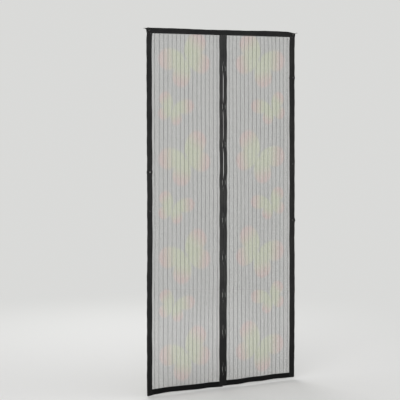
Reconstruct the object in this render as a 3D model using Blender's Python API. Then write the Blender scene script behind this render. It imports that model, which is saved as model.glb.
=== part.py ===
"""A door screen that keeps insects out: two net panels bound in folded black tape.

Magnets in the two meeting sleeves draw the panels shut. Hook-and-loop tape along the top and
down both sides holds the screen to the door frame, and pins back the tape up.

The frame stands in the plane y = 0, and the screen hangs in front of it, towards -Y. The origin
is at the middle of the back of the top hook tape, so the screen hangs down from it along -Z.
"""

from math import cos, pi, sin

import bmesh
import bpy
from mathutils import Matrix, Vector

# The whole screen, in metres.
WIDTH = 1.000
HEIGHT = 2.100
MEETING_GAP = 0.001
FIT = 0.0003

# The net: thin cloth with a thicker striped yarn at every stripe.
NET_THICKNESS = 0.0008
STRIPE_PITCH = 0.0271
STRIPE_WIDTH = 0.0030
STRIPE_RISE = 0.0003
NET_BAR = 0.0090
NET_RUNG = 0.0050
NET_ROW = 0.2550

# The tape folded round the net's edges.
TAPE = 0.0008
TUCK = 0.010
SIDE_BAND = 0.035
HEM_BAND = 0.031
TOP_OVERHANG = 0.010
FOLD_STEPS = 6

# Hook-and-loop tape.
STRIP_WIDTH = 0.020
STRIP_MARGIN = 0.0045
STRIP_END = 0.006
HOOK_THICKNESS = 0.0012
LOOP_THICKNESS = 0.0012

# Magnets, one above the other in each sleeve.
MAGNET_WIDTH = 0.009
MAGNET_THICKNESS = 0.003
MAGNET_HEIGHT = 0.030
MAGNET_CHAMFER = 0.0005
MAGNET_SET = 0.0045
MAGNETS = 9
FIRST_MAGNET_DROP = 0.223
LAST_MAGNET_RISE = 0.099
SLEEVE_TAPER = 0.0025
SLEEVE_LIP = 0.0080
SLEEVE_TUCK = 0.0070

# Pins: a domed head on a needle. Drops are measured down from the screen's top edge.
PIN_HEAD = 0.011
PIN_DOME = 0.0035
PIN_RIM = 0.0010
NEEDLE = 0.0011
NEEDLE_IN_FRAME = 0.007
NEEDLE_POINT = 0.0025
LEFT_PIN_DROPS = (0.817, 1.041)
RIGHT_PIN_DROPS = (0.271, 0.792, 1.134)
PIN_SIDES = 12
DOME_STEPS = 3

# Sizes that follow from those above.
TOP_BAND = STRIP_WIDTH + 2 * STRIP_MARGIN
PIN_INSET = STRIP_MARGIN + STRIP_WIDTH / 2
TOP = PIN_INSET
FOOT = TOP - HEIGHT
BAND_TOP = TOP - TOP_BAND - FIT
EDGE = WIDTH / 2
MOUTH = (NET_THICKNESS + STRIPE_RISE) / 2 + FIT
BELLY = MAGNET_THICKNESS / 2 + FIT
SLEEVE_BAND = MAGNET_SET + MAGNET_WIDTH + FIT + SLEEVE_TAPER + SLEEVE_LIP
BINDING_BACK = -(HOOK_THICKNESS + LOOP_THICKNESS + 2 * FIT)
NET_MIDDLE = BINDING_BACK - TAPE - MOUTH
BINDING_FRONT = NET_MIDDLE - MOUTH - TAPE
NET_SIDE = EDGE - SIDE_BAND
NET_INNER = MEETING_GAP / 2 + SLEEVE_BAND

UP = Vector((0, 0, 1))
RIGHT = Vector((1, 0, 0))
BACK = Vector((0, 1, 0))


def clear_scene():
    for thing in list(bpy.context.scene.objects):
        bpy.data.objects.remove(thing)


def finish(name, colour, roughness, metallic=0.0):
    """A plain material with the colour, roughness and metal share of one finish."""
    made = bpy.data.materials.new(name)
    made.use_nodes = True
    shader = made.node_tree.nodes["Principled BSDF"]
    shader.inputs["Base Color"].default_value = (*colour, 1.0)
    shader.inputs["Roughness"].default_value = roughness
    shader.inputs["Metallic"].default_value = metallic
    made.diffuse_color = (*colour, 1.0)
    return made


def piece(name, bm, paint, place=(0, 0, 0)):
    """An object of the bmesh's shape, with its faces pointing out."""
    bmesh.ops.recalc_face_normals(bm, faces=bm.faces)
    mesh = bpy.data.meshes.new(name)
    bm.to_mesh(mesh)
    bm.free()
    mesh.materials.append(paint)
    return copy_of(name, mesh, place)


def copy_of(name, mesh, place):
    made = bpy.data.objects.new(name, mesh)
    made.location = place
    bpy.context.scene.collection.objects.link(made)
    return made


def prism(name, outline, start, across, run, paint):
    """The outline's (along across, along Y) points, carried from start along run."""
    bm = bmesh.new()
    ring = [bm.verts.new(start + across * u + BACK * v) for u, v in outline]
    grown = bmesh.ops.extrude_face_region(bm, geom=[bm.faces.new(ring)])["geom"]
    far = [v for v in grown if isinstance(v, bmesh.types.BMVert)]
    bmesh.ops.translate(bm, verts=far, vec=run)
    return piece(name, bm, paint)


def cut(target, cutter):
    """Takes the cutter's shape out of the target, and hides the cutter."""
    step = target.modifiers.new(cutter.name, "BOOLEAN")
    step.operation = "DIFFERENCE"
    step.solver = "EXACT"
    step.object = cutter
    cutter.hide_render = True
    cutter.display_type = "WIRE"


def boxes(name, corners, paint):
    """One mesh of separate boxes, each given by its lowest and highest corner."""
    bm = bmesh.new()
    for low, high in corners:
        size = Vector(high) - Vector(low)
        middle = (Vector(high) + Vector(low)) / 2
        bmesh.ops.create_cube(bm, matrix=Matrix.LocRotScale(middle, None, size))
    return piece(name, bm, paint)


def folded_section(nose, stations):
    """Section of a tape folded in two, from its round fold at u = 0 out to its open mouth.

    nose is half the space inside the fold, and each station is a distance from the fold with
    half the space between the two legs there.
    """
    centre = nose + TAPE
    turn = [pi / 2 + pi * k / FOLD_STEPS for k in range(FOLD_STEPS + 1)]

    def skin(grow):
        reach = nose + grow
        one_leg = [(u, half + grow) for u, half in reversed(stations)]
        fold = [(centre + reach * cos(a), reach * sin(a)) for a in turn]
        other_leg = [(u, -half - grow) for u, half in stations]
        return one_leg + fold + other_leg

    return skin(TAPE) + skin(0.0)[::-1]


def make_net(name, side, net, clear):
    """One panel's net: a thin wall with a ridge at each stripe, and open cells between them."""
    outer = NET_SIDE + TUCK
    inner = NET_INNER - SLEEVE_TUCK
    back = MOUTH - FIT
    front = back - NET_THICKNESS
    stripes = int((NET_SIDE - NET_INNER) / STRIPE_PITCH)
    first = (NET_SIDE + NET_INNER - (stripes - 1) * STRIPE_PITCH) / 2
    centres = [first + k * STRIPE_PITCH for k in range(stripes)]
    outline = [(outer, front), (outer, back), (inner, back), (inner, front)]
    for x in centres:
        low, high = x - STRIPE_WIDTH / 2, x + STRIPE_WIDTH / 2
        ridge = front - STRIPE_RISE
        outline += [(low, front), (low, ridge), (high, ridge), (high, front)]
    foot = FOOT + HEM_BAND - TUCK
    start = BACK * NET_MIDDLE + UP * foot
    run = UP * (TOP - TOP_BAND + TUCK - foot)
    wall = prism(name, outline, start, RIGHT * side, run, net)
    cut(wall, make_cells(name + "_cells", side, centres, clear))
    return wall


def make_cells(name, side, centres, clear):
    """The open cells between the net's stripes, in rows from the hem to the top band."""
    low = FOOT + HEM_BAND
    rows = max(1, round((BAND_TOP - low) / NET_ROW))
    row = (BAND_TOP - low) / rows
    corners = []
    for left, right in zip(centres, centres[1:]):
        ends = sorted((side * (left + NET_BAR / 2), side * (right - NET_BAR / 2)))
        for k in range(rows):
            foot = low + k * row + NET_RUNG / 2
            head = foot + row - NET_RUNG
            through = (NET_MIDDLE - TAPE - MOUTH, NET_MIDDLE + TAPE + MOUTH)
            corners.append(((ends[0], through[0], foot), (ends[1], through[1], head)))
    return boxes(name, corners, clear)


def make_bindings(black, holes):
    """The folded tapes along the top, the sides and the feet of the two panels."""
    top = prism(
        "top_binding",
        folded_section(MOUTH, [(TOP_BAND, MOUTH)]),
        Vector((-EDGE - TOP_OVERHANG, NET_MIDDLE, TOP)),
        -UP,
        RIGHT * (WIDTH + 2 * TOP_OVERHANG),
        black,
    )
    cut(top, holes)
    for word, side in (("left", -1), ("right", 1)):
        jamb = prism(
            word + "_binding",
            folded_section(MOUTH, [(SIDE_BAND, MOUTH)]),
            Vector((side * EDGE, NET_MIDDLE, FOOT)),
            RIGHT * -side,
            UP * (BAND_TOP - FOOT),
            black,
        )
        cut(jamb, holes)
        prism(
            word + "_hem",
            folded_section(MOUTH, [(HEM_BAND, MOUTH)]),
            Vector((side * (NET_INNER + FIT), NET_MIDDLE, FOOT)),
            UP,
            RIGHT * side * (NET_SIDE - NET_INNER - 2 * FIT),
            black,
        )


def make_sleeves(black):
    """The meeting edges: folded tapes with room for the magnets behind the fold."""
    belly_end = MAGNET_SET + MAGNET_WIDTH + FIT
    stations = [(belly_end, BELLY), (belly_end + SLEEVE_TAPER, MOUTH), (SLEEVE_BAND, MOUTH)]
    for word, side in (("left", -1), ("right", 1)):
        prism(
            word + "_sleeve",
            folded_section(BELLY, stations),
            Vector((side * MEETING_GAP / 2, NET_MIDDLE, FOOT)),
            RIGHT * side,
            UP * (BAND_TOP - FOOT),
            black,
        )


def make_magnets(iron):
    """Bar magnets, in pairs that face each other across the meeting edges."""
    bm = bmesh.new()
    size = Vector((MAGNET_WIDTH, MAGNET_THICKNESS, MAGNET_HEIGHT))
    bmesh.ops.create_cube(bm, matrix=Matrix.LocRotScale(None, None, size))
    bmesh.ops.bevel(bm, geom=bm.edges, offset=MAGNET_CHAMFER, affect="EDGES")
    x = MEETING_GAP / 2 + MAGNET_SET + MAGNET_WIDTH / 2
    highest = TOP - FIRST_MAGNET_DROP
    pitch = (highest - FOOT - LAST_MAGNET_RISE) / (MAGNETS - 1)
    first = piece("magnet_left_1", bm, iron, (-x, NET_MIDDLE, highest))
    for word, side in (("left", -1), ("right", 1)):
        for k in range(MAGNETS):
            name = f"magnet_{word}_{k + 1}"
            if name != first.name:
                copy_of(name, first.data, (side * x, NET_MIDDLE, highest - k * pitch))


def make_strips(hook, loop, holes):
    """The loop tape sewn behind the bindings, and the hook tape stuck to the door frame."""
    outer, inner = EDGE - STRIP_MARGIN, EDGE - STRIP_MARGIN - STRIP_WIDTH
    low, high = FOOT + STRIP_END, BAND_TOP - STRIP_END
    half = STRIP_WIDTH / 2
    spans = {
        "top": ((-outer, -half), (outer, half)),
        "left": ((-outer, low), (-inner, high)),
        "right": ((inner, low), (outer, high)),
    }
    hook_front = -HOOK_THICKNESS
    for word, ((x0, z0), (x1, z1)) in spans.items():
        for kind, paint, front, back in (
            ("hook", hook, hook_front, 0.0),
            ("loop", loop, hook_front - FIT - LOOP_THICKNESS, hook_front - FIT),
        ):
            span = [((x0, front, z0), (x1, back, z1))]
            cut(boxes(f"{word}_{kind}_tape", span, paint), holes)


def pin_places():
    """Each pin's name with where its needle goes into the frame."""
    across = EDGE - PIN_INSET
    places = {"pin_top_left": (-across, 0.0), "pin_top_right": (across, 0.0)}
    for word, x, drops in (("left", -across, LEFT_PIN_DROPS), ("right", across, RIGHT_PIN_DROPS)):
        for k, drop in enumerate(drops):
            places[f"pin_{word}_{k + 1}"] = (x, TOP - drop)
    return places


def turned(profile):
    """A round shape about the Y axis: each (radius, y) is a ring, or a point where radius is 0."""
    bm = bmesh.new()
    rings = []
    for radius, y in profile:
        angles = [2 * pi * k / PIN_SIDES for k in range(PIN_SIDES if radius else 1)]
        rings.append([bm.verts.new((radius * cos(a), y, radius * sin(a))) for a in angles])
    for one, two in zip(rings, rings[1:]):
        for k in range(PIN_SIDES):
            corners = [one[k % len(one)], one[(k + 1) % len(one)]]
            corners += [two[(k + 1) % len(two)], two[k % len(two)]]
            bm.faces.new(dict.fromkeys(corners))
    return bm


def make_pins(steel):
    """Pins pressed through the binding and both tapes into the door frame."""
    seat = BINDING_FRONT - FIT
    tip = NEEDLE_IN_FRAME - seat
    profile = [(0.0, tip), (NEEDLE / 2, tip - NEEDLE_POINT), (NEEDLE / 2, 0.0)]
    profile += [(PIN_HEAD / 2, 0.0)]
    for k in range(DOME_STEPS):
        a = pi / 2 * k / DOME_STEPS
        profile.append((PIN_HEAD / 2 * cos(a), -PIN_RIM - PIN_DOME * sin(a)))
    profile.append((0.0, -PIN_RIM - PIN_DOME))
    places = pin_places()
    first = None
    for name, (x, z) in places.items():
        if first is None:
            first = piece(name, turned(profile), steel, (x, seat, z))
            first.data.shade_smooth()
            first.data.set_sharp_from_angle(angle=pi / 5)
        else:
            copy_of(name, first.data, (x, seat, z))


def make_pin_holes(clear):
    """Round cutters where the needles pass through the bindings and the tapes."""
    bm = bmesh.new()
    front, back = BINDING_FRONT - TAPE, TAPE
    for x, z in pin_places().values():
        upright = Matrix.Translation((x, (front + back) / 2, z)) @ Matrix.Rotation(pi / 2, 4, "X")
        bmesh.ops.create_cone(
            bm,
            cap_ends=True,
            segments=PIN_SIDES,
            radius1=NEEDLE / 2 + FIT,
            radius2=NEEDLE / 2 + FIT,
            depth=back - front,
            matrix=upright,
        )
    return piece("pin_holes", bm, clear)


def main():
    clear_scene()
    black = finish("black_tape", (0.020, 0.020, 0.021), 0.85)
    net = finish("grey_net", (0.42, 0.42, 0.40), 0.80)
    iron = finish("ferrite", (0.055, 0.055, 0.058), 0.55, 0.3)
    hook = finish("hook_tape", (0.030, 0.030, 0.032), 0.60)
    loop = finish("loop_tape", (0.024, 0.024, 0.026), 0.95)
    steel = finish("black_pin", (0.015, 0.015, 0.016), 0.35)
    clear = finish("cutter", (0.8, 0.3, 0.1), 0.5)
    holes = make_pin_holes(clear)
    make_net("left_net", -1, net, clear)
    make_net("right_net", 1, net, clear)
    make_bindings(black, holes)
    make_sleeves(black)
    make_magnets(iron)
    make_strips(hook, loop, holes)
    make_pins(steel)


main()
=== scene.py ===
# %% [markdown]
# # A magnetic insect screen
# Two net panels hang side by side. Black tape is folded round their edges, and magnets in two sewn
# sleeves draw the panels shut along the middle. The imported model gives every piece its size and
# place, and this lesson gives each piece its thread, cloth and finish. It starts with the frame of
# that model, because all that is made later is measured from it.

# %% Load the frame
from functools import reduce
from math import cos, pi, radians, sin

import bmesh
import bpy
import numpy as np
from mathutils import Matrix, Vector


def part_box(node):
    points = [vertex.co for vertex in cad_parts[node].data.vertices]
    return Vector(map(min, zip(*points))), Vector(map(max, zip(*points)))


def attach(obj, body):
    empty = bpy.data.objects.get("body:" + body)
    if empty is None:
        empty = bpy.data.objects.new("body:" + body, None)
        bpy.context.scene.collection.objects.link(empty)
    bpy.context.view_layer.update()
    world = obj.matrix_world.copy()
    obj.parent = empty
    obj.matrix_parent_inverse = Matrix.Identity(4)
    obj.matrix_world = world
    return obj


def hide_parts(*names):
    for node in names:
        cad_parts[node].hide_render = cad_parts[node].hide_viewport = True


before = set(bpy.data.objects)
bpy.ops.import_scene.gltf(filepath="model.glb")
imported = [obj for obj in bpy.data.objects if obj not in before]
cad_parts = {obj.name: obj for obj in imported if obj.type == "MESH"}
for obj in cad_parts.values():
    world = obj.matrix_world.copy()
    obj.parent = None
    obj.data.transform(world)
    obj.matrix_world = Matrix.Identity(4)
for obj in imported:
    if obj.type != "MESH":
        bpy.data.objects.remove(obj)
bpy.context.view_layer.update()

# %% [markdown]
# ## Measures
# A maker marks the cloth before cutting it. All heights and widths are read from the frame's own
# pieces, so nothing here can drift away from the model. x runs across the screen, z runs up, and the
# screen faces -y. Lengths are in metres.

# %% Read the main measures
def span(node, axis):
    """Where a piece of the frame starts and ends along x, y or z."""
    low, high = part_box(node)
    return getattr(low, axis), getattr(high, axis)


TOP_LOW, TOP = span("top_binding", "z")
TOP_LEFT, TOP_RIGHT = span("top_binding", "x")
TOP_FRONT, TOP_BACK = span("top_binding", "y")
FOOT, BAND_TOP = span("left_binding", "z")
NET_SIDE, EDGE = span("right_binding", "x")
HEM_TOP = span("left_hem", "z")[1]
SLEEVE_FOLD, SLEEVE_LIP = span("right_sleeve", "x")
SLEEVE_FRONT, SLEEVE_BACK = span("left_sleeve", "y")
NET_INNER, NET_OUTER = span("right_net", "x")
NET_LOW, NET_HIGH = span("right_net", "z")
MIDDLE = (TOP_FRONT + TOP_BACK) / 2
MAGNETS = np.array([sum(span(f"magnet_left_{k}", "z")) / 2 for k in range(1, 10)])
PINS = {name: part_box(name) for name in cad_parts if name.startswith("pin_")}
PIN_SPOTS = np.array([((a.x + b.x) / 2, (a.z + b.z) / 2) for a, b in PINS.values()])
print(f"{2 * EDGE:.3f} m wide, {TOP - FOOT:.3f} m high")
print(len(MAGNETS), "magnets a side,", len(PINS), "pins")

# %% Thickness of the tape
TAPE = 0.0008
MOUTH = (TOP_BACK - TOP_FRONT) / 2 - TAPE  # half the room between the two legs of a folded tape
BELLY = (SLEEVE_BACK - SLEEVE_FRONT) / 2 - TAPE  # the same in a sleeve, where the magnets lie
print(f"half the room in a fold: {MOUTH * 1000:.1f} mm, in a sleeve: {BELLY * 1000:.1f} mm")

# %% [markdown]
# ## The view
# The picture is taken from the left, from above the middle of the screen, with a long lens. A camera
# can be guessed by eye, but a fit to the screen's outer edges and its evenly spaced magnets is surer,
# and that is where these numbers come from.

# %% Set the camera
bpy.ops.object.select_all(action="DESELECT")
bpy.ops.object.camera_add(
    location=(-3.951, -6.772, FOOT + 1.660),
    rotation=(radians(85.96), radians(0.09), radians(-29.29)),
)
camera = bpy.context.object
camera.data.lens = 120.0
bpy.context.scene.camera = camera
print("camera at", [round(c, 3) for c in camera.location], "with a lens of", camera.data.lens, "mm")

# %% [markdown]
# ## Nodes written as sums
# A material is a small drawing made of numbers. Wiring it by hand takes one line for each node, so
# one class wraps a socket and lets sums be written as sums: `1 - mask` adds its Math node. A second
# class holds the node tree and adds any other node.

# %% A socket that can be counted with
class Sock:
    """One socket of a node tree, for use in sums, products and comparisons."""

    def __init__(self, nodes, socket):
        self.nodes, self.socket = nodes, socket

    def math(self, operation, *others, first=True):
        values = (self, *others) if first else (*others, self)
        return self.nodes.add("ShaderNodeMath", {"operation": operation}, dict(enumerate(values)))

    def __add__(self, other):
        return self.math("ADD", other)

    def __sub__(self, other):
        return self.math("SUBTRACT", other)

    def __rsub__(self, other):
        return self.math("SUBTRACT", other, first=False)

    def __mul__(self, other):
        return self.math("MULTIPLY", other)

    def __truediv__(self, other):
        return self.math("DIVIDE", other)

    __radd__, __rmul__ = __add__, __mul__

    def sine(self):
        return self.math("SINE")

    def size(self):
        return self.math("ABSOLUTE")

    def most(self, other):
        return self.math("MAXIMUM", other)


# %% A node tree that is easy to add to
class Nodes:
    """Adds nodes to one tree; what add() gives back can be counted with."""

    def __init__(self, tree):
        self.tree = tree

    def feed(self, socket, value):
        if isinstance(value, Sock):
            self.tree.links.new(value.socket, socket)
        else:
            socket.default_value = value

    def add(self, kind, settings=None, inputs=None, out=0):
        node = self.tree.nodes.new(kind)
        for key, value in (settings or {}).items():
            setattr(node, key, value)
        for key, value in (inputs or {}).items():
            self.feed(node.inputs[key], value)
        return Sock(self, node.outputs[out])

    def slope(self, value, low, high):
        """0 at low, 1 at high, and a soft slope between them."""
        return self.add(
            "ShaderNodeMapRange",
            {"interpolation_type": "SMOOTHSTEP"},
            {"Value": value, "From Min": low, "From Max": high},
        )

    def mix(self, share, one, other):
        """A colour between two others."""
        return self.add("ShaderNodeMix", {"data_type": "RGBA"}, {0: share, 6: one, 7: other}, out=2)

    def ripple(self, value, length):
        """Even waves from 0 to 1, one for each length."""
        return (value * (2 * pi / length)).sine() * 0.5 + 0.5

    def place(self):
        """The point on the object, and its x, y and z."""
        point = self.add("ShaderNodeTexCoord", out="Object")
        split = self.add("ShaderNodeSeparateXYZ", None, {0: point})
        x, y, z = (Sock(self, socket) for socket in split.socket.node.outputs)
        return point, x, y, z

    def noise(self, point, scale, detail=2.0):
        wanted = {"Vector": point, "Scale": scale, "Detail": detail}
        return self.add("ShaderNodeTexNoise", None, wanted)


# %% A material that starts from one plain finish
class Paint(Nodes):
    """A material; plain values are set on the shader's own sockets."""

    def __init__(self, name, finish=None):
        self.material = bpy.data.materials.new(name)
        self.material.use_nodes = True
        super().__init__(self.material.node_tree)
        self.shader = self.tree.nodes["Principled BSDF"].inputs
        for key, value in (finish or {}).items():
            self.shader[key].default_value = value

    def set(self, key, value):
        self.feed(self.shader[key], value)

    def bump(self, height, distance):
        wanted = {"Height": height, "Distance": distance, "Strength": 1.0}
        self.set("Normal", self.add("ShaderNodeBump", None, wanted))

    def done(self):
        print(f"{self.material.name}: a material of {len(self.tree.nodes)} nodes")
        return self.material


# %% [markdown]
# ## Studio
# A pale room with soft light from the left front shows black tape and grey net alike. A backdrop
# could close the picture, but it would hide the screen from behind. So the background is the world's
# own colour, and the floor is a disc whose rim glows in that colour. The camera sees that colour as
# it is, while the cloth gets a dimmer white light from the world, and the light of three lamps.

# %% The world
WHITE = (1.0, 1.0, 1.0, 1.0)
PALE = (0.700, 0.702, 0.690, 1.0)
WORLD_LIGHT = 0.55
world = bpy.data.worlds.new("pale_room")
bpy.context.scene.world = world
world.use_nodes = True
room = Nodes(world.node_tree)
rays = world.node_tree.nodes.new("ShaderNodeLightPath").outputs
seen = Sock(room, rays["Is Camera Ray"])
for ray in ("Is Glossy Ray", "Is Transmission Ray"):
    seen = seen.most(Sock(room, rays[ray]))
background = world.node_tree.nodes["Background"].inputs
room.feed(background["Color"], room.mix(seen, WHITE, PALE))
room.feed(background["Strength"], seen * (1 - WORLD_LIGHT) + WORLD_LIGHT)
print("the world lights the cloth at", WORLD_LIGHT, "and is seen at 1")

# %% The floor
FLOOR_DROP, FLOOR_RADIUS = 0.012, 4.5
GLOW_FROM, GLOW_TO = 0.9, 4.2
bpy.ops.object.select_all(action="DESELECT")
bpy.ops.mesh.primitive_circle_add(
    vertices=96, radius=FLOOR_RADIUS, fill_type="NGON", location=(0, 0, FOOT - FLOOR_DROP)
)
floor = bpy.context.object
floor.name = "floor"
bpy.ops.object.transform_apply(location=True, rotation=True, scale=True)
ground = Paint("pale_floor", {"Base Color": (0.80, 0.80, 0.79, 1.0), "Roughness": 0.9})
_, x, y, _ = ground.place()
level_spot = ground.add("ShaderNodeCombineXYZ", None, {0: x, 1: y, 2: 0.0})
away = ground.add("ShaderNodeVectorMath", {"operation": "LENGTH"}, {0: level_spot}, out="Value")
lit_floor = Sock(ground, ground.tree.nodes["Principled BSDF"].outputs[0])
glow = ground.add("ShaderNodeEmission", None, {"Color": PALE, "Strength": 1.0})
rim = ground.slope(away, GLOW_FROM, GLOW_TO)
blend = ground.add("ShaderNodeMixShader", None, {0: rim, 1: lit_floor, 2: glow})
ground.feed(ground.tree.nodes["Material Output"].inputs["Surface"], blend)
floor.data.materials.append(ground.done())
print(f"floor {2 * FLOOR_RADIUS:.0f} m across, {FLOOR_DROP * 1000:.0f} mm below the tape")

# %% The lamps
MID_HEIGHT = (TOP + FOOT) / 2
LAMP_SIZE = 3.0


def lamp(name, across, deep, above, power):
    """A square soft lamp that faces the middle of the screen."""
    spot = Vector((across, deep, MID_HEIGHT + above))
    turn = (Vector((0, 0, MID_HEIGHT)) - spot).to_track_quat("-Z", "Y").to_euler()
    bpy.ops.object.light_add(type="AREA", location=spot, rotation=turn)
    made = bpy.context.object
    made.name = name
    made.data.size, made.data.energy = LAMP_SIZE, power
    print(f"{name}: {power:.0f} W from {spot.length:.1f} m")


lamp("key_light", -3.4, -3.6, 1.6, 105.0)
lamp("fill_light", 3.8, -3.2, 0.4, 45.0)
lamp("back_light", 1.0, 4.4, 2.0, 100.0)

# %% [markdown]
# ## How the cloth hangs
# A flat, straight screen looks like sheet metal. Cloth could be dropped by simulation, but a net held
# on three sides and pinched by nine pairs of magnets hardly moves: it swells a few millimetres, bows
# between the magnets and ripples along its hems. One function, drape, gives that small movement for
# any point. Every net, tape and stitch is moved by the same function, so nothing that is sewn
# together comes apart.
#
# It needs two tools: a soft slope, which limits a movement to one part of the cloth, and a wave.
# The names in all that follows are the same: `side` is -1 left of the middle and 1 right of it, and
# `out` is the distance from the middle.

# %% Soft slopes and waves
def ease(start, end, t):
    """0 up to start, 1 from end on, and a soft slope between them."""
    t = np.clip((t - start) / (end - start), 0.0, 1.0)
    return t * t * (3.0 - 2.0 * t)


def wave(t, length, height=1.0, shift=0.0):
    """A wave of this length and height along t."""
    return height * np.sin(2 * pi * t / length + shift)


def through(t, points):
    """A soft line through a few measured points."""
    places, values = np.array(points).T
    k = np.clip(np.searchsorted(places, t) - 1, 0, len(points) - 2)
    return values[k] + (values[k + 1] - values[k]) * ease(places[k], places[k + 1], t)


def own(side, pair):
    """The value of each point's own side."""
    return np.where(side > 0, pair[1], pair[-1])


def own_line(t, side, lines):
    """The soft line of each point's own side."""
    return own(side, {way: through(t, line) for way, line in lines.items()})


print("half way up a slope from 2 to 4:", float(ease(2, 4, 3)))

# %% The swell of the nets
SWELL, RIPPLE = 0.0042, 0.0010
SWELL_ACROSS, SWELL_DOWN = 0.52, 2.9


def swell(out, z, side):
    """How far the panel stands back or forward; the two meeting edges go together."""
    apart = side * ease(0.03, 0.16, out)
    slow = wave(out / SWELL_ACROSS + z / SWELL_DOWN, length=1, height=SWELL, shift=1.1 * apart)
    return slow + wave(z, length=0.61, height=RIPPLE, shift=9.0 * out + 0.7 * apart)


print(f"the nets swell up to {(SWELL + RIPPLE) * 1000:.1f} mm")

# %% [markdown]
# No hung screen is quite square. Its outlines were measured at a few places and are kept here as
# short tables in millimetres: how far the tape of each side stands outwards, by the drop from the
# top; how high the foot of each panel stands, by the distance from the middle; how high the top edge
# stands, by the place across; and how far the sleeves part in each space between two magnets.

# %% The measured outlines
MM = 0.001
SWAY = {
    -1: ((0.00, 1.5), (0.18, 2.3), (0.53, 2.2), (0.87, 1.9),
         (1.22, 2.4), (1.50, 5.8), (1.80, 7.0), (2.10, 8.0)),
    1: ((0.00, 0.0), (0.18, -0.6), (0.53, 1.2), (0.87, 3.0),
        (1.22, 3.4), (1.50, 5.6), (1.80, 5.8), (2.10, 4.0)),
}
FOOT_LINE = {
    -1: ((0.04, -6.4), (0.11, -3.7), (0.21, -3.5), (0.34, 1.8), (0.44, -4.4), (0.50, -10.0)),
    1: ((0.01, -4.0), (0.06, -2.2), (0.17, 1.4), (0.30, 1.2), (0.44, 0.8), (0.50, 0.8)),
}
CREST = ((-0.51, -1.0), (-0.485, 2.9), (-0.40, 2.9), (-0.20, 1.7), (-0.02, 1.2),
         (0.135, 2.0), (0.30, 4.1), (0.44, 3.7), (0.508, -5.0))
BOWS = np.array([-0.4, 0.85, 0.5, 0.85, -0.3, -0.4, -0.4, -0.3, -0.4, -0.4]) * MM
NARROWED = {-1: 1.7, 1: -1.8}
print(f"widest gap between the sleeves: {2 * BOWS.max() / MM:.1f} mm")

# %% Movement sideways
LEAN, HALF_HEIGHT = 0.0040, 1.05


def sideways(z, side, out, loose):
    """Bowed sleeves, leaning stripes, straying threads and the sway of the side tapes."""
    inside = ease(NET_SIDE, NET_SIDE - 0.06, out)
    space = np.clip(np.searchsorted(-MAGNETS, -z), 0, len(MAGNETS))
    bow = BOWS[space] * loose * ease(0.028, 0.002, out)
    lean = -LEAN * (z - MID_HEIGHT) / HALF_HEIGHT * inside * ease(0.03, 0.09, out)
    stray = wave(z, length=0.47, height=0.0006, shift=5 * out + side)
    stray = stray * inside * ease(0.03, 0.07, out)
    lip = wave(z, length=0.131, height=0.0007, shift=2 * side)
    lip = lip * loose * ease(0.012, 0.022, out) * ease(0.06, 0.026, out)
    sway = own_line(TOP - z, side, SWAY) * ease(0.30, NET_SIDE, out)
    band = own(side, NARROWED) * ease(EDGE, NET_SIDE, out) * ease(NET_SIDE - 0.08, NET_SIDE, out)
    sway = (sway + band) * ease(0.0, 0.03, BAND_TOP + 0.004 - z) * MM
    return side * (bow + lean + stray + lip + sway)


# %% [markdown]
# The tape adds smaller marks of its own. It puffs up between the pins and the seams, and its sleeve
# is flat wherever there is no magnet in it. Its edges are never quite straight, and three pins push
# them out of line. The foot corners are rounded, and the cut ends of the top tape draw out to points.

# %% Puckers and flat sleeves
PUCKER, FLATTENED = 0.0006, 0.38


def pucker(x, deep, z, side, out, gap):
    """How far the tape's face stands forward between pins and seams, or falls in without a magnet."""
    to_pin = np.hypot(x[:, None] - PIN_SPOTS[:, 0], z[:, None] - PIN_SPOTS[:, 1]).min(1)
    down = wave(z, length=0.043, shift=wave(z, length=0.31, height=3) + side)
    along = wave(x, length=0.052, shift=wave(x, length=0.29, height=2))
    puffed = (0.5 + 0.25 * (down + along)) * ease(0.0009, 0.0014, -deep) * ease(0.006, 0.018, to_pin)
    flat = ease(0.0185, 0.030, gap) * ease(0.0160, 0.0125, out)
    return -PUCKER * puffed - FLATTENED * flat * deep


# %% Uneven edges, and bulges beside the pins
BULGES = {"pin_left_1": (3.2, 3.0), "pin_right_1": (3.2, 2.0), "pin_right_3": (5.0, 0.0)}
BULGE_LENGTH = 0.0075


def uneven(z, side, out):
    """How far the two edges of a side tape stray; BULGES has mm outwards and mm inwards."""
    rim = wave(z, length=0.19, height=0.0006, shift=2 * side) + wave(z, length=0.071, height=0.0004)
    rim = side * rim * ease(EDGE - 0.0045, EDGE, out)
    inner = side * wave(z, length=0.23, height=0.0007, shift=side)
    inner = inner * ease(NET_SIDE + 0.0095, NET_SIDE, out) * ease(NET_SIDE - 0.05, NET_SIDE, out)
    for name, (outwards, inwards) in BULGES.items():
        low, high = PINS[name]
        near = np.exp(-(((z - (low.z + high.z) / 2) / BULGE_LENGTH) ** 2)) * (side * low.x > 0)
        at_net = ease(NET_SIDE + 0.012, NET_SIDE, out) * ease(NET_SIDE - 0.02, NET_SIDE, out)
        rim = rim + side * near * outwards * MM * ease(EDGE - 0.012, EDGE, out)
        inner = inner - side * near * inwards * MM * at_net
    return (rim + inner) * (1 - ease(BAND_TOP, BAND_TOP + 0.004, z))


# %% Round foot corners
SIDE_ROUND, SLEEVE_ROUND = 0.007, 0.004


def rounded(height, radius):
    """How far a rounded corner stands back at this height."""
    left = np.clip(radius - height, 0.0, radius)
    return radius - np.sqrt(radius**2 - left**2)


def corners(z, side, out):
    """The foot corners stand back from the outer edge and from the middle."""
    outer = -side * rounded(z - FOOT, SIDE_ROUND) * ease(EDGE - 0.012, EDGE, out)
    return outer + side * rounded(z - FOOT, SLEEVE_ROUND) * ease(0.012, SLEEVE_FOLD, out)


# %% The top tape's points and its crest
TIPS = {-1: 0.0100, 1: 0.0075}
PEAK, PEAK_IN, SHRUNK = 0.0022, 0.010, 0.90


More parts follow.
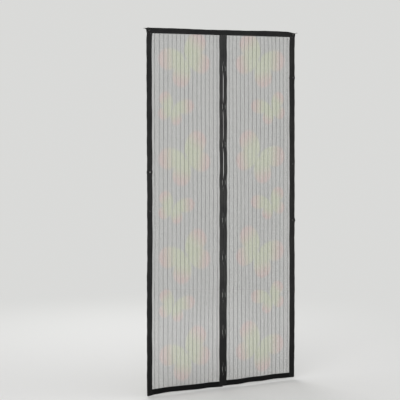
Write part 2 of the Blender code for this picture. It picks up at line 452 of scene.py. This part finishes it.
def top_ends(x, z, side, out):
    """How far the cut ends of the top tape are drawn out, and how far its edge stands up."""
    tip = ease(EDGE + 0.0002, EDGE + 0.0030, out) * ease(TOP_LOW - 0.003, TOP_LOW - 0.001, z)
    crest = wave(x, length=0.31, height=0.0005, shift=1.0) + wave(x, length=0.09, height=0.0003)
    crest = crest * ease(TOP - 0.0045, TOP, z)
    crest = crest + through(x, CREST) * MM * ease(TOP - 0.03, TOP, z)
    crest = crest + PEAK * np.exp(-(((x + EDGE - PEAK_IN) / 0.004) ** 2)) * ease(0.006, TOP, z)
    return side * own(side, TIPS) * tip, crest + SHRUNK * tip**0.2 * (TOP - z)


# %% Move a piece as the cloth hangs
def drape(points):
    """Moves points of the flat screen to where the hung cloth has them."""
    x, y, z = points.T
    side, out, deep = np.sign(x), np.abs(x), y - MIDDLE
    gap = np.abs(z[:, None] - MAGNETS).min(1)
    loose, centre = ease(0.018, 0.060, gap), ease(0.14, 0.03, out)
    inside = ease(NET_SIDE, NET_SIDE - 0.07, out) * ease(0.0, 0.09, BAND_TOP - z)
    depth = swell(out, z, side) * inside * (1 - centre * (1 - loose))
    foot = own_line(out, side, FOOT_LINE) * MM
    hem = wave(out, length=0.17, height=0.0011, shift=side)
    foot = foot + hem * ease(NET_SIDE, NET_SIDE - 0.07, out)
    drawn, crest = top_ends(x, z, side, out)
    across = sideways(z, side, out, loose) + uneven(z, side, out) + corners(z, side, out) + drawn
    height = ease(0.084, 0.0, z - FOOT) * foot + crest
    return np.stack([x + across, y + depth + pucker(x, deep, z, side, out, gap), z + height], 1)


def hang(piece):
    """Moves every point of a piece from the flat pattern to the hung cloth."""
    flat = np.empty(len(piece.data.vertices) * 3)
    piece.data.vertices.foreach_get("co", flat)
    piece.data.vertices.foreach_set("co", drape(flat.reshape(-1, 3)).ravel())
    piece.data.update()


moved = drape(np.array([[-EDGE, MIDDLE, FOOT]])) - np.array([[-EDGE, MIDDLE, FOOT]])
print("the left foot corner moves by", (moved[0] * 1000).round(1), "mm")

# %% [markdown]
# ## Black tape
# The tape is a plain ribbed ribbon: fine ribs run from edge to edge and give it a dull, soft shine. A
# picture of cloth would do, but waves drawn at the ribs' true pitch stay sharp at any distance. The
# ribs follow the tape, so an upright tape and a level one each get their own material. Lint and small
# worn places lighten the black a little. Towards the foot the colour is painted nearly black, painted
# shade near the floor. The sleeve ribbon is painted lighter, painted light on its round belly, and
# the hem ribbon has less shine, a shaded copy of the same tape.

# %% Ribbed ribbon
FOOT_SHADE_BLACK = (0.0025, 0.0025, 0.0026, 1.0)
RIB, YARN = 0.0011, 0.0007


def shade(level, share, blue):
    """A near black of one level, as a colour."""
    return level * share, level * share, level * blue, 1.0


def ribbed(name, level, along, shine=0.15):
    """Black ribbon whose ribs repeat along z, or along x."""
    gloss = {"Sheen Weight": shine / 5, "Sheen Roughness": 0.5, "Specular IOR Level": shine}
    made = Paint(name, gloss)
    point, x, _, z = made.place()
    run, over = (z, x) if along == "z" else (x, z)
    ribs, yarns = made.ripple(run, RIB), made.ripple(over, YARN)
    cloud = made.noise(point, 9.0, 3.0)
    lint = made.slope(made.noise(point, 900.0, 1.0), 0.66, 0.78)
    light = made.slope(cloud, 0.35, 0.70) * 0.55 + lint * 0.30 + ribs * 0.15
    # Painted shade: the colour turns near black towards the foot, as in shade near the floor.
    out_of_foot_shade = made.slope(z, FOOT - 0.05, FOOT + 0.65) * 0.85 + 0.15
    cloth = made.mix(light, shade(level, 0.72, 0.74), shade(level, 1.55, 1.50))
    made.set("Base Color", made.mix(out_of_foot_shade, FOOT_SHADE_BLACK, cloth))
    made.set("Roughness", 0.72 + cloud * 0.16)
    made.bump(ribs * 0.7 + ribs * yarns * 0.5 + cloud * 0.6, 0.00022)
    return made.done()


upright_tape = ribbed("upright_ribbon", 0.016, "z")
level_tape = ribbed("level_ribbon", 0.013, "x")
# The hem ribbon is the same tape with less shine, a shaded copy kept dark as in shade by the floor.
hem_tape_shaded = ribbed("hem_ribbon", 0.013, "x", shine=0.09)
# The sleeve ribbon is the same black tape, painted lighter: painted light on its round belly.
sleeve_tape_painted_lighter = ribbed("sleeve_ribbon", 0.034, "z")

# %% [markdown]
# ## Hand tools
# Every piece starts from a primitive, is shaped in edit mode and gets modifiers, as by hand.

# %% Open, select and close a mesh
def begin(name, scale=(1, 1, 1)):
    """Names the new primitive, settles its size and place in its mesh, and opens it."""
    made = bpy.context.object
    made.name = made.data.name = name
    made.scale = scale
    bpy.ops.object.transform_apply(location=True, rotation=True, scale=True)
    bpy.ops.object.mode_set(mode="EDIT")
    return made


def pick(made, kind, chosen):
    """Selects the open mesh's edges or faces for which chosen() is true."""
    bpy.ops.mesh.select_mode(type={"edges": "EDGE", "faces": "FACE"}[kind])
    bpy.ops.mesh.select_all(action="DESELECT")
    mesh = bmesh.from_edit_mesh(made.data)
    for part in getattr(mesh, kind):
        part.select_set(bool(chosen(part)))
    mesh.select_flush_mode()
    bmesh.update_edit_mesh(made.data)


def draw_out(x, y, z):
    """Extrudes what is selected by this much."""
    bpy.ops.mesh.extrude_region_move(TRANSFORM_OT_translate={"value": (x, y, z)})


def end():
    """Turns all faces outwards and closes the mesh."""
    bpy.ops.mesh.select_all(action="SELECT")
    bpy.ops.mesh.normals_make_consistent(inside=False)
    bpy.ops.object.mode_set(mode="OBJECT")


# %% Modify, place, join and keep a piece
def use(made, kind, **settings):
    """Adds a modifier to a piece and applies it."""
    bpy.context.view_layer.objects.active = made
    step = made.modifiers.new(kind.lower(), kind)
    for key, value in settings.items():
        setattr(step, key, value)
    bpy.ops.object.modifier_apply(modifier=step.name)


def repeat(made, step, count):
    """Repeats a piece, each copy one step from the last."""
    use(made, "ARRAY", count=count, use_relative_offset=False, use_constant_offset=True,
        constant_offset_displace=step)


def smooth(made, angle):
    """Shades a piece smoothly, but for the edges sharper than this angle."""
    made.data.shade_smooth()
    made.data.set_sharp_from_angle(angle=radians(angle))


def put(made, turn, spot):
    """Turns a piece about y and moves it, and settles both in its mesh."""
    bpy.ops.object.select_all(action="DESELECT")
    made.select_set(True)
    bpy.context.view_layer.objects.active = made
    made.rotation_euler, made.location = (0, turn, 0), spot
    bpy.ops.object.transform_apply(location=True, rotation=True, scale=True)


def join(name, pieces):
    """Makes one piece of several."""
    bpy.ops.object.select_all(action="DESELECT")
    for part in pieces:
        part.select_set(True)
    bpy.context.view_layer.objects.active = pieces[0]
    if len(pieces) > 1:
        bpy.ops.object.join()
    pieces[0].name = pieces[0].data.name = name
    return pieces[0]


def keep(made, slot, *nodes):
    """Attaches a finished piece to the root, hides the frame's nodes that it replaces, and says what
    was made.
    """
    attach(made, "root")
    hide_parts(*nodes)
    count = sum(len(face.vertices) - 2 for face in made.data.polygons)
    print(f"{made.name}: {count} triangles")
    return made


# %% [markdown]
# ## Folding a tape
# Each edge of the net is held in a ribbon folded in two. It could be a thin box, but then it has no
# fold and no open mouth. So the ribbon is made as on the table: one leg is laid flat, its edge is
# spun half a turn into the fold, and that edge is drawn out again as the other leg. Solidify gives
# the ribbon its thickness. All ribbons are folded lying down, fold upwards, and turned into place
# after. Close to each cut end a few more cuts are made, so that corners and points can be shaped
# there.

# %% The folded ribbon
COLUMN, FOLD_STEPS = 0.009, 6
END_CUTS = (0.001, 0.0025, 0.0045, 0.0070, 0.0085, 0.0098)


def fold_tape(name, length, width, nose, paint, rows):
    """A ribbon folded along x, with its fold at z = 0 and its mouth at z = -width."""
    bend, start = nose + TAPE / 2, nose + TAPE
    bpy.ops.object.select_all(action="DESELECT")
    bpy.ops.mesh.primitive_grid_add(
        x_subdivisions=round(length / COLUMN),
        y_subdivisions=rows,
        size=1,
        location=(0, -bend, -(start + width) / 2),
        rotation=(pi / 2, 0, 0),
    )
    made = begin(name, (length, width - start, 1))
    for cut in END_CUTS:
        for way in (-1, 1):
            bpy.ops.mesh.select_all(action="SELECT")
            bpy.ops.mesh.bisect(plane_co=(way * (length / 2 - cut), 0, 0), plane_no=(1, 0, 0))
    pick(made, "edges", lambda e: all(v.co.z > -start - 1e-6 for v in e.verts))
    bpy.ops.mesh.spin(steps=FOLD_STEPS, angle=pi, center=(0, 0, -start), axis=(1, 0, 0))
    for _ in range(rows):
        draw_out(0, 0, (start - width) / rows)
    end()
    made.data.materials.append(paint)
    return made


def finish_tape(made, turn, spot):
    """Thickens the ribbon, turns it into place and lets it hang."""
    use(made, "SOLIDIFY", thickness=TAPE, offset=0, use_even_offset=True)
    smooth(made, 50)
    put(made, turn, spot)
    hang(made)
    return made


# %% [markdown]
# ## Stitches
# Two threads lock together at every stitch, so a seam shows as a row of short dashes on each face.
# A groove painted on the tape vanishes in raking light, so each dash is real thread: a stretched
# sphere of twenty faces, half sunk in the cloth. One is modelled, and Array repeats it.

# %% Sewing thread
def sewing_thread(name, colour, dullness):
    """Twisted thread, with a fine spiral of light and shade."""
    made = Paint(name, {"Base Color": colour, "Sheen Weight": 0.15})
    _, x, _, z = made.place()
    twist = made.ripple(x + z, 0.0006)
    made.set("Roughness", dullness + twist * 0.2)
    made.bump(twist, 0.00008)
    return made.done()


black_thread = sewing_thread("black_thread", (0.045, 0.045, 0.046, 1.0), 0.45)
painted_highlight_thread = sewing_thread("painted_highlight_thread", (0.55, 0.55, 0.53, 1.0), 0.40)

# %% A row of stitches
STITCH, STITCH_GAP, THREAD = 0.0026, 0.0006, 0.00022
PROUD = 0.00004


def stitch_row(name, start, step, count, size, paint):
    """A row of stitches from start, each one a step from the last."""
    bpy.ops.object.select_all(action="DESELECT")
    bpy.ops.mesh.primitive_uv_sphere_add(
        segments=5, ring_count=3, radius=1, location=start, rotation=(0, pi / 2, 0)
    )
    made = begin(name, (size[2], size[1], size[0]))
    end()
    made.data.shade_smooth()
    repeat(made, step, count)
    made.data.materials.append(paint)
    return made


def seam(name, length, rows, turn, spot):
    """The stitch rows of one tape; each row is (distance from the fold, the faces it shows on)."""
    pitch = STITCH + STITCH_GAP
    count = int((length - 0.006) / pitch)
    first = -pitch * (count - 1) / 2
    size = (STITCH / 2, THREAD, THREAD)
    made = []
    for down, faces in rows:
        for face in faces:
            start = (first, face * (MOUTH + TAPE + PROUD), -down)
            made.append(stitch_row(name, start, (pitch, 0, 0), count, size, black_thread))
    made = join(name, made)
    put(made, turn, spot)
    hang(made)
    return made


# %% [markdown]
# ## Top binding
# One ribbon runs across both panels and stands a little past each side, where its cut ends draw out
# to thin points. Three rows of thread show in front: one by the mouth, which holds the net, and two
# that hold the loop tape behind.

# %% Make the top binding
FRONT, BACK = (-1,), (1,)
FROM_MOUTH, FROM_FOLD = 0.0028, 0.0062
TOP_SECOND_ROW, SIDE_SECOND_ROW = 0.0225, 0.0228  # the loop tape's other row, from the fold
TOP_LENGTH, TOP_BAND = TOP_RIGHT - TOP_LEFT, TOP - TOP_LOW
top_spot = (0, MIDDLE, TOP)
top = fold_tape("top_ribbon", TOP_LENGTH, TOP_BAND, MOUTH, level_tape, 6)
keep(finish_tape(top, 0, top_spot), "binding", "top_binding")
rows = [(TOP_BAND - FROM_MOUTH, FRONT + BACK), (FROM_FOLD, FRONT), (TOP_SECOND_ROW, FRONT)]
top_seam = keep(seam("top_seams", TOP_LENGTH - 0.030, rows, 0, top_spot), "binding")

# %% [markdown]
# ## Side bindings
# The side ribbons are the same ribbon turned upright, with the fold outwards. The turn about y sets
# which way the mouth looks: towards the net on either side.

# %% Make the side bindings
SIDES = (("left", -1), ("right", 1))
SIDE_LENGTH, SIDE_MIDDLE = BAND_TOP - FOOT, (BAND_TOP + FOOT) / 2
SIDE_BAND = EDGE - NET_SIDE
sewn_on = {}
for word, side in SIDES:
    turn, spot = side * pi / 2, (side * EDGE, MIDDLE, SIDE_MIDDLE)
    ribbon = fold_tape(word + "_ribbon", SIDE_LENGTH, SIDE_BAND, MOUTH, upright_tape, 7)
    keep(finish_tape(ribbon, turn, spot), "binding", word + "_binding")
    rows = [(SIDE_BAND - FROM_MOUTH, FRONT + BACK), (FROM_FOLD, FRONT), (SIDE_SECOND_ROW, FRONT)]
    stitches = keep(seam(word + "_side_seams", SIDE_LENGTH, rows, turn, spot), "binding")
    sewn_on[word] = [ribbon, stitches]

# %% [markdown]
# ## Hems
# A shorter ribbon closes the foot of each panel. Its fold is at the bottom, so it is turned half way
# round.

# %% Make the hems
HEM_BAND = HEM_TOP - FOOT
for word, side in SIDES:
    low, high = span(word + "_hem", "x")
    length, spot = high - low, ((low + high) / 2, MIDDLE, FOOT)
    ribbon = fold_tape(word + "_hem_ribbon", length, HEM_BAND, MOUTH, hem_tape_shaded, 6)
    keep(finish_tape(ribbon, pi, spot), "binding", word + "_hem")
    rows = [(HEM_BAND - FROM_MOUTH, FRONT + BACK)]
    stitches = keep(seam(word + "_hem_seams", length, rows, pi, spot), "binding")
    sewn_on[word] += [ribbon, stitches]

# %% [markdown]
# ## Magnet sleeves
# The ribbons along the meeting edges are folded wider, with a belly that holds the magnets. Past the
# belly the two legs come together on the net. Black tacks above and below each magnet make its
# pocket. Beside each magnet runs a close bar of pale thread, a painted highlight for the light that
# the cloth over the magnet catches; it is wider on the left sleeve than on the right.

# %% Make the sleeves
SLEEVE_BAND = SLEEVE_LIP - SLEEVE_FOLD
SLEEVE_FROM_MOUTH, BELLY_END, NECK = 0.0030, 0.0138, 0.0025


def close_mouth(made):
    """Brings the two legs of a sleeve together, from the belly of the magnets to the net."""
    closed = (MOUTH + TAPE / 2) / (BELLY + TAPE / 2)
    for v in made.data.vertices:
        v.co.y *= 1 + float(ease(BELLY_END, BELLY_END + NECK, -v.co.z)) * (closed - 1)


for word, side in SIDES:
    turn, spot = -side * pi / 2, (side * SLEEVE_FOLD, MIDDLE, SIDE_MIDDLE)
    ribbon = fold_tape(word + "_sleeve_ribbon", SIDE_LENGTH, SLEEVE_BAND, BELLY, sleeve_tape_painted_lighter, 9)
    close_mouth(ribbon)
    keep(finish_tape(ribbon, turn, spot), "binding", word + "_sleeve")
    rows = [(SLEEVE_BAND - SLEEVE_FROM_MOUTH, FRONT + BACK)]
    stitches = keep(seam(word + "_sleeve_seams", SIDE_LENGTH, rows, turn, spot), "binding")
    sewn_on[word] += [ribbon, stitches]

# %% Close the magnet pockets
MAGNET_IN, MAGNET_OUT = span("magnet_right_1", "x")
# The pale bars are painted highlights: the place across, then half the width.
HIGHLIGHT_BARS = {"left": (MAGNET_IN + 0.0004, 0.0011), "right": (MAGNET_OUT - 0.0004, 0.0007)}
BAR_STEP, BAR_STITCHES = 0.00058, 47
TACK_IN, TACK_FROM_MAGNET, TACK_STEP, TACK_STITCHES = 0.0042, 0.0195, 0.0009, 11
for word, side in SIDES:
    highlight_bars, tacks = [], []
    across, half = HIGHLIGHT_BARS[word]
    for height in MAGNETS:
        for face in FRONT + BACK:
            deep = MIDDLE + face * (BELLY + TAPE)
            start = (side * across, deep, height - BAR_STEP * (BAR_STITCHES - 1) / 2)
            size = (half, THREAD, 0.00030)
            highlight_bars.append(stitch_row("bar", start, (0, 0, BAR_STEP), BAR_STITCHES, size, painted_highlight_thread))
            for way in (-1, 1):
                start = (side * TACK_IN, deep, height + way * TACK_FROM_MAGNET)
                step, size = (side * TACK_STEP, 0, 0), (0.00030, THREAD, 0.0009)
                tacks.append(stitch_row("tack", start, step, TACK_STITCHES, size, black_thread))
    for name, parts in ((word + "_pocket_highlight_bars", highlight_bars), (word + "_pocket_tacks", tacks)):
        made = join(name, parts)
        hang(made)
        sewn_on[word].append(keep(made, "binding"))

# %% [markdown]
# ## The net
# The net is a veil of fine grey thread with a darker striped yarn every 27 mm. A sheet with holes
# painted on it looks flat up close, and a full weave needs millions of faces. So each thread is a
# straight three-sided rod, set 1.5 mm from the next, upright threads behind and level threads in
# front. From a step away it is a net, and it lets the light through as a net does.
#
# The print is soft: pairs of pale butterflies, mirrored about the middle and repeated up the cloth.
# It is dyed into the thread, so it is drawn in the thread's material from the place on the cloth.
# Each butterfly is four ovals round one point, green near the body and rosy at the tips.

# %% Butterfly print
REPEAT = 0.570
WINGS = {  # place across and above the foot, then (turn, length, roundness) of each wing
    "large": ((0.250, 1.935), ((130, 0.182, 0.72), (-4, 0.184, 0.70),
                               (196, 0.172, 0.70), (284, 0.176, 0.70))),
    "small": ((0.335, 1.645), ((50, 0.118, 0.74), (173, 0.148, 0.58),
                               (246, 0.104, 0.74), (-26, 0.104, 0.74))),
}
BROADER = 0.28


def wing(made, across, up, turn, length, roundness):
    """One wing, broader towards its tip: its strength, and how far out along it the point lies."""
    c, s = cos(radians(turn)), sin(radians(turn))
    reach, beside = across * c + up * s, up * c - across * s
    u = reach / (length / 2) - 1
    v = beside / (length / 2 * roundness) / (1 + u * BROADER)
    far = made.add("ShaderNodeMath", {"operation": "SQRT"}, {0: u * u + v * v})
    return 1 - made.slope(far, 0.80, 1.04), (1 - made.slope(far, 1.04, 1.11)) * reach / length


def butterflies(made, across, up):
    """The print's strength, and its place from the bodies (0) to the wing tips (1)."""
    strength, outward = [], []
    for (dx, dz), wings in WINGS.values():
        limits = {0: up - FOOT - dz, 1: REPEAT / 2, 2: -REPEAT / 2}
        level = made.add("ShaderNodeMath", {"operation": "WRAP"}, limits)
        for turn, length, roundness in wings:
            mask, reach = wing(made, across - dx, level, turn, length, roundness)
            strength.append(mask)
            outward.append(reach)
    return reduce(Sock.most, strength), reduce(Sock.most, outward)


# %% Net thread and stripe yarn
def net_thread():
    """Grey thread with the print dyed into it."""
    made = Paint("net_thread", {"Roughness": 0.75, "Sheen Weight": 0.05})
    point, x, _, z = made.place()
    strength, outward = butterflies(made, x.size(), z)
    green, rose = (0.420, 0.475, 0.170, 1.0), (0.540, 0.250, 0.205, 1.0)
    tint = made.mix(made.slope(outward, 0.32, 0.90), green, rose)
    fleck, cloud = made.noise(point, 260.0, 1.0), made.noise(point, 2.2, 2.0)
    dark, pale = (0.225, 0.226, 0.220, 1.0), (0.325, 0.324, 0.312, 1.0)
    grey = made.mix(fleck * 0.5 + cloud * 0.5, dark, pale)
    made.set("Base Color", made.mix(strength * 0.62, grey, tint))
    made.bump(fleck, 0.00005)
    return made.done()


def stripe_yarn():
    """Darker, thicker yarn of the stripes."""
    made = Paint("stripe_yarn", {"Sheen Weight": 0.10})
    _, x, _, z = made.place()
    ply = (z * (2 * pi / 0.0018) + x * 900.0).sine() * 0.5 + 0.5
    dark, pale = (0.030, 0.030, 0.031, 1.0), (0.060, 0.060, 0.060, 1.0)
    made.set("Base Color", made.mix(ply, dark, pale))
    made.set("Roughness", 0.60 + ply * 0.2)
    made.bump(ply, 0.00010)
    return made.done()


grey_thread, dark_yarn = net_thread(), stripe_yarn()

# %% One straight thread
PITCH, UNEVEN = 0.0015, 0.00020
NET_RADIUS, YARN_RADIUS = 0.000254, 0.00028


def thread(name, start, way, length, steps, radius, paint):
    """A three-sided rod along z or x, drawn out step by step so that it can bend later."""
    turn = (0, 0, 0) if way == "z" else (0, pi / 2, 0)
    bpy.ops.object.select_all(action="DESELECT")
    bpy.ops.mesh.primitive_circle_add(
        vertices=3, radius=radius, fill_type="NGON", location=start, rotation=turn
    )
    made = begin(name)
    bpy.ops.mesh.select_all(action="SELECT")
    step = Vector((0, 0, 1) if way == "z" else (1, 0, 0)) * length / steps
    for _ in range(steps):
        draw_out(*step)
    end()
    made.data.materials.append(paint)
    return made


def jostle(made, axis, start):
    """Sets each thread a little off its place, as a loom does; an even grid shimmers in a picture."""
    spots = np.empty(len(made.data.vertices) * 3)
    made.data.vertices.foreach_get("co", spots)
    spots = spots.reshape(-1, 3)
    number = np.floor((np.abs(spots[:, axis]) - abs(start)) / PITCH)
    spots[:, axis] += UNEVEN * np.sin(2.4 * number)
    made.data.vertices.foreach_set("co", spots.ravel())


# %% [markdown]
# A thread bends only where two of its steps meet. The upright threads need many steps beside the
# sleeves, which bow between the magnets, and few near the side tapes. So they are woven in three
# groups, from the middle outwards.

# %% The threads of one panel
STRIPES, STRIPE_PITCH = 16, 0.0271
FIRST_STRIPE = (NET_SIDE + SLEEVE_LIP - (STRIPES - 1) * STRIPE_PITCH) / 2
YARNS, YARN_STEP = 4, 0.00092
WIDE, TALL = NET_OUTER - NET_INNER, NET_HIGH - NET_LOW
UPRIGHTS = ((SLEEVE_LIP + 0.003, 200), (0.14, 70), (NET_OUTER, 16))
UPRIGHT_Y, LEVEL_Y, STRIPE_Y = MIDDLE + 0.00022, MIDDLE - 0.00018, MIDDLE - 0.00042


def uprights(side):
    """The upright threads, in groups that each reach up to a place across and have so many steps."""
    groups, done = [], 0
    for reach, steps in UPRIGHTS:
        start = (side * (NET_INNER + PITCH * (done + 0.5)), UPRIGHT_Y, NET_LOW)
        made = thread("upright", start, "z", TALL, steps, NET_RADIUS, grey_thread)
        upto = int((reach - NET_INNER) / PITCH)
        repeat(made, (side * PITCH, 0, 0), upto - done)
        jostle(made, 0, NET_INNER)
        groups.append(made)
        done = upto
    return groups


def levels(side):
    """The level threads, from the foot up."""
    start = (side * NET_INNER if side > 0 else -NET_OUTER, LEVEL_Y, NET_LOW + PITCH / 2)
    made = thread("level", start, "x", WIDE, 10, NET_RADIUS, grey_thread)
    repeat(made, (0, 0, PITCH), int(TALL / PITCH))
    jostle(made, 2, NET_LOW)
    return made


def stripes(side):
    """The dark yarns, a few side by side in each stripe."""
    start = (side * (FIRST_STRIPE - YARN_STEP * (YARNS - 1) / 2), STRIPE_Y, NET_LOW)
    made = thread("stripe", start, "z", TALL, 60, YARN_RADIUS, dark_yarn)
    repeat(made, (side * YARN_STEP, 0, 0), YARNS)
    repeat(made, (side * STRIPE_PITCH, 0, 0), STRIPES)
    return made


# %% Weave the two panels
def lay_out(made):
    """Lays the cloth flat on a map of its own, for its colours to be baked to, the dark yarns beside
    it.
    """
    layer = made.data.uv_layers.new(name="OFBake")
    spots = np.empty(len(made.data.vertices) * 3)
    made.data.vertices.foreach_get("co", spots)
    corner = np.empty(len(made.data.loops), dtype=np.int32)
    made.data.loops.foreach_get("vertex_index", corner)
    spots = spots.reshape(-1, 3)[corner]
    faces = made.data.polygons
    dark = np.repeat([face.material_index for face in faces], [face.loop_total for face in faces])
    across = (np.abs(spots[:, 0]) - NET_INNER) / WIDE
    u = np.where(dark > 0, 0.93 + 0.06 * across, 0.01 + 0.88 * across)
    v = 0.01 + 0.98 * (spots[:, 2] - NET_LOW) / TALL
    layer.data.foreach_set("uv", np.stack([u, v], 1).ravel())


panels = {}
for word, side in SIDES:
    panel = join(word + "_panel_net", [*uprights(side), levels(side), stripes(side)])
    lay_out(panel)
    hang(panel)
    panels[word] = keep(panel, "net", word + "_net")

# %% [markdown]
# ## Hook tape and loop tape
# Loop tape is sewn behind the bindings, and hook tape is stuck where the screen is to hang; pressed
# together they hold it. Each is a strip with a bare selvedge and a raised field: low ridges of hooks
# on one, a soft uneven pile on the other. The field is inset from the strip's face and drawn out.

# %% Finishes for the strips
def hook_nylon():
    """Stiff nylon with close rows of small hooks."""
    made = Paint("hook_nylon", {"Specular IOR Level": 0.5})
    point, x, _, z = made.place()
    tips = (x * (2 * pi / 0.0016)).sine() * (z * (2 * pi / 0.0014)).sine() * 0.5 + 0.5
    worn = made.noise(point, 14.0)
    dark, pale = (0.016, 0.016, 0.017, 1.0), (0.050, 0.050, 0.052, 1.0)
    made.set("Base Color", made.mix(tips * 0.6 + worn * 0.4, dark, pale))
    made.set("Roughness", 0.40 + worn * 0.25)
    made.bump(tips, 0.0003)
    return made.done()


def loop_pile():
    """Soft brushed pile."""
    made = Paint("loop_pile", {"Sheen Weight": 0.25, "Roughness": 0.95})
    point = made.place()[0]
    fuzz, cloud = made.noise(point, 1400.0, 2.0), made.noise(point, 60.0)
    dark, pale = (0.014, 0.014, 0.015, 1.0), (0.048, 0.048, 0.050, 1.0)
    made.set("Base Color", made.mix(fuzz * 0.6 + cloud * 0.4, dark, pale))
    made.bump(fuzz, 0.0004)
    return made.done()


strip_finish = {"hook": hook_nylon(), "loop": loop_pile()}

# %% Make the strips
SELVEDGE, BASE, SOFT_EDGE = 0.0014, 0.0007, 0.0002


def strip(node, kind):
    """A strip the size of its node: a bare selvedge and a raised field that faces its mate."""
    low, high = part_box(node)
    size, face = high - low, -1 if kind == "hook" else 1
    flat_y = (high.y if kind == "hook" else low.y) + face * BASE / 2
    spot = ((low.x + high.x) / 2, flat_y, (low.z + high.z) / 2)
    bpy.ops.object.select_all(action="DESELECT")
    bpy.ops.mesh.primitive_cube_add(size=1, location=spot)
    made = begin(node + "_strip", (size.x, BASE, size.z))
    pick(made, "faces", lambda f: f.normal.y * face > 0.9)
    bpy.ops.mesh.inset(thickness=SELVEDGE, depth=0)
    draw_out(0, face * (size.y - BASE), 0)
    bpy.ops.mesh.select_all(action="SELECT")
    bpy.ops.mesh.bevel(offset=SOFT_EDGE, segments=2, affect="EDGES")
    end()
    made.data.materials.append(strip_finish[kind])
    smooth(made, 35)
    return keep(made, kind, node)


for node in [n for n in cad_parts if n.endswith("_tape")]:
    strip(node, "hook" if "hook" in node else "loop")

# %% [markdown]
# ## Pins
# Small domed pins go through the bindings. Each is turned in one piece: a disc for the rim, a dome
# that is drawn out and narrowed step by step, and on the back a thin needle with a point. The enamel
# is black and shiny, so each head catches one small spot of light. The crown of the upper pin on the
# left is painted as pale bare steel, a painted highlight on that head.

# %% Enamel, and a painted highlight of steel
BLACK_ENAMEL, HIGHLIGHT_STEEL = (0.004, 0.004, 0.004, 1.0), (0.52, 0.51, 0.49, 1.0)
HIGHLIGHT_TO, ENAMEL_FROM = 0.0026, 0.0036
enamel = Paint("pin_enamel", {"Coat Roughness": 0.08, "Specular IOR Level": 0.2})
point = enamel.place()[0]
wear_and_highlight_edge = enamel.noise(point, 700.0, 3.0)
low, high = PINS["pin_left_1"]
crown = {0: point, 1: ((low.x + high.x) / 2, low.y, (low.z + high.z) / 2)}
off_crown = enamel.add("ShaderNodeVectorMath", {"operation": "DISTANCE"}, crown, out="Value")
# The pale steel spot on the upper left pin's crown is a painted highlight.
bare = 1 - enamel.slope(off_crown + wear_and_highlight_edge * 0.0012, HIGHLIGHT_TO, ENAMEL_FROM)
enamel.set("Base Color", enamel.mix(bare, BLACK_ENAMEL, HIGHLIGHT_STEEL))
enamel.set("Metallic", bare)
enamel.set("Coat Weight", 1 - bare)
enamel.set("Roughness", 0.20 + wear_and_highlight_edge * 0.25)
enamel.bump(wear_and_highlight_edge, 0.00002)
pin_finish = enamel.done()

# %% Turn a pin
PIN_SIDES, DOME_STEPS = 32, 7
RIM, DOME, HEAD_DEPTH = 0.0010, 0.0035, 0.0045
NEEDLE_RADIUS, NEEDLE_POINT = 0.00055, 0.0025


def raise_dome(x, z, base, head):
    """Draws the selected disc out and narrows it, step by step, into a dome."""
    radius, height = head, 0.0
    for k in range(1, DOME_STEPS + 1):
        a = pi / 2 * k / (DOME_STEPS + 0.35)
        draw_out(0, -(DOME * sin(a) - height), 0)
        height = DOME * sin(a)
        narrower = head * cos(a) / radius
        bpy.ops.transform.resize(value=(narrower,) * 3, center_override=(x, base - height, z))
        radius = head * cos(a)
    bpy.ops.mesh.merge(type="CENTER")


def turn_pin(name, low, high):
    """A domed pin with its needle, along y, in the box of its node."""
    x, z, seat = (low.x + high.x) / 2, (low.z + high.z) / 2, low.y + HEAD_DEPTH
    head = (high.x - low.x) / 2
    bpy.ops.object.select_all(action="DESELECT")
    bpy.ops.mesh.primitive_circle_add(
        vertices=PIN_SIDES, radius=head, fill_type="NGON", location=(x, seat, z),
        rotation=(pi / 2, 0, 0),
    )
    made = begin(name)
    bpy.ops.mesh.select_all(action="SELECT")
    draw_out(0, -RIM, 0)
    raise_dome(x, z, seat - RIM, head)
    pick(made, "faces", lambda f: all(abs(v.co.y - seat) < 1e-6 for v in f.verts))
    bpy.ops.mesh.inset(thickness=head - NEEDLE_RADIUS, depth=0)
    draw_out(0, high.y - seat - NEEDLE_POINT, 0)
    draw_out(0, NEEDLE_POINT, 0)
    bpy.ops.mesh.merge(type="CENTER")
    end()
    made.data.materials.append(pin_finish)
    smooth(made, 40)
    return made


for node, (low, high) in PINS.items():
    keep(turn_pin(node + "_enamelled", low, high), "pin", node)

# %% [markdown]
# ## Magnets
# The magnets keep the shape that the frame gives them, because it is already right. They only need
# the look of pressed iron powder: dark grey, dull, with a fine grain and paler blots.

# %% Finish the magnets
ferrite = Paint("ferrite", {"Metallic": 0.2})
point = ferrite.place()[0]
grain, blot = ferrite.noise(point, 2200.0, 2.0), ferrite.noise(point, 90.0)
dark, pale = (0.040, 0.040, 0.043, 1.0), (0.095, 0.095, 0.098, 1.0)
ferrite.set("Base Color", ferrite.mix(grain * 0.6 + blot * 0.4, dark, pale))
ferrite.set("Roughness", 0.45 + blot * 0.25)
ferrite.bump(grain, 0.00006)
magnet_finish = ferrite.done()
magnets = [obj for name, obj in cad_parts.items() if name.startswith("magnet_")]
for magnet in magnets:
    for held in magnet.material_slots:
        held.material = magnet_finish
print(len(magnets), "magnets finished")

# %% [markdown]
# ## What is cloth
# Last, the sizes that the pieces of cloth were cut to are printed. Each panel was cut to the net's
# own size. The bindings and seams go with the panel that they are sewn to, and the top binding is a
# folded tape of its own.

for word, panel in panels.items():
    inside = [m for m in magnets if m.name.startswith(f"magnet_{word}_")]
    sewn_on[word] + inside
2 * TOP_BAND
print(f"panels cut {WIDE * 1000:.0f} x {TALL * 1000:.0f} mm")
print(f"top tape {2 * TOP_BAND * 1000:.0f} mm wide before it is folded")

# %% Set the view transform and finish
bpy.context.scene.view_settings.view_transform = "Standard"
